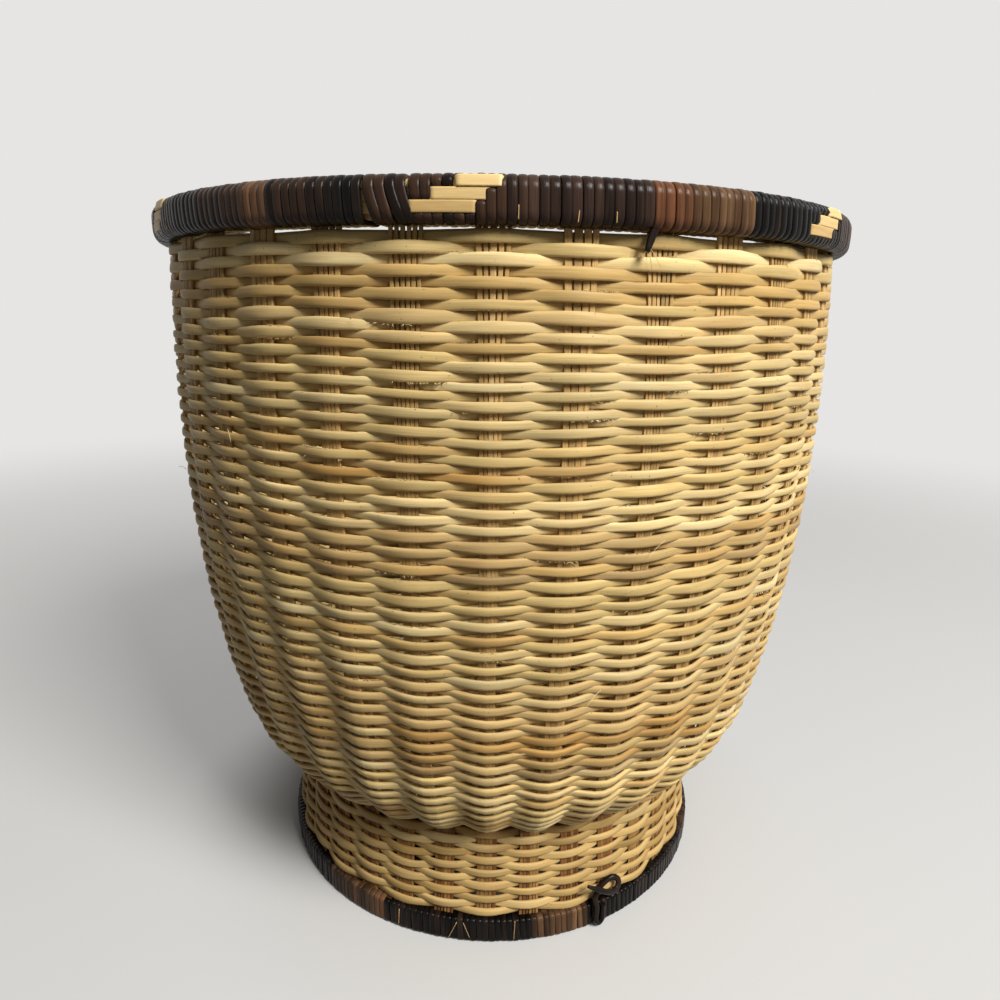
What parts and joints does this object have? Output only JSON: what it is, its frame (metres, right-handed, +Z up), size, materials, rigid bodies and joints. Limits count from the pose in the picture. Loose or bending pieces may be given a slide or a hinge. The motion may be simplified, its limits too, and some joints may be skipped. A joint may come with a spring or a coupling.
{
  "type": "pedestal wicker basket",
  "caption": "Round woven cane bowl on a short flared woven foot, with a dark cane-bound rim and base; holds plants, linen or other goods.",
  "frame": {"origin": "middle of the flat ring that the foot stands on, at ground level", "axes": "+Z up along the basket's axis, -Y towards the pictured side, +X to the right seen from there"},
  "size_m": [0.3209, 0.3208, 0.3243],
  "materials": {
    "weave": "satin",
    "stake": "matte",
    "hoop": "satin",
    "binding": "gloss",
    "slip": "satin"
  },
  "bodies": {
    "root": {"floor_centre": "weave", "floor_weave": "weave", "floor_edge_weave": "weave", "turn_weave": "weave", "lower_wall_weave": "weave", "middle_wall_weave": "weave", "upper_wall_weave": "weave", "foot_weave": "weave", "joint_lashing": "weave", "wall_stake_01": "stake", "wall_stake_02": "stake", "wall_stake_03": "stake", "wall_stake_04": "stake", "wall_stake_05": "stake", "wall_stake_06": "stake", "wall_stake_07": "stake", "wall_stake_08": "stake", "wall_stake_09": "stake", "wall_stake_10": "stake", "wall_stake_11": "stake", "wall_stake_12": "stake", "wall_stake_13": "stake", "wall_stake_14": "stake", "wall_stake_15": "stake", "wall_stake_16": "stake", "wall_stake_17": "stake", "wall_stake_18": "stake", "wall_stake_19": "stake", "wall_stake_20": "stake", "wall_stake_21": "stake", "wall_stake_22": "stake", "wall_stake_23": "stake", "wall_stake_24": "stake", "wall_stake_25": "stake", "wall_stake_26": "stake", "wall_stake_27": "stake", "wall_stake_28": "stake", "wall_stake_29": "stake", "wall_stake_30": "stake", "wall_stake_31": "stake", "wall_stake_32": "stake", "wall_stake_33": "stake", "wall_stake_34": "stake", "wall_stake_35": "stake", "foot_stakes": "stake", "rim_inner_hoop": "hoop", "rim_outer_hoop": "hoop", "foot_inner_hoop": "hoop", "foot_outer_hoop": "hoop", "joint_hoop": "hoop", "rim_binding": "binding", "rim_binding_end": "binding", "foot_binding": "binding", "foot_knot": "binding", "pattern_slip_lower": "slip", "pattern_slip_middle": "slip", "pattern_slip_upper": "slip"}
  },
  "joints": []
}
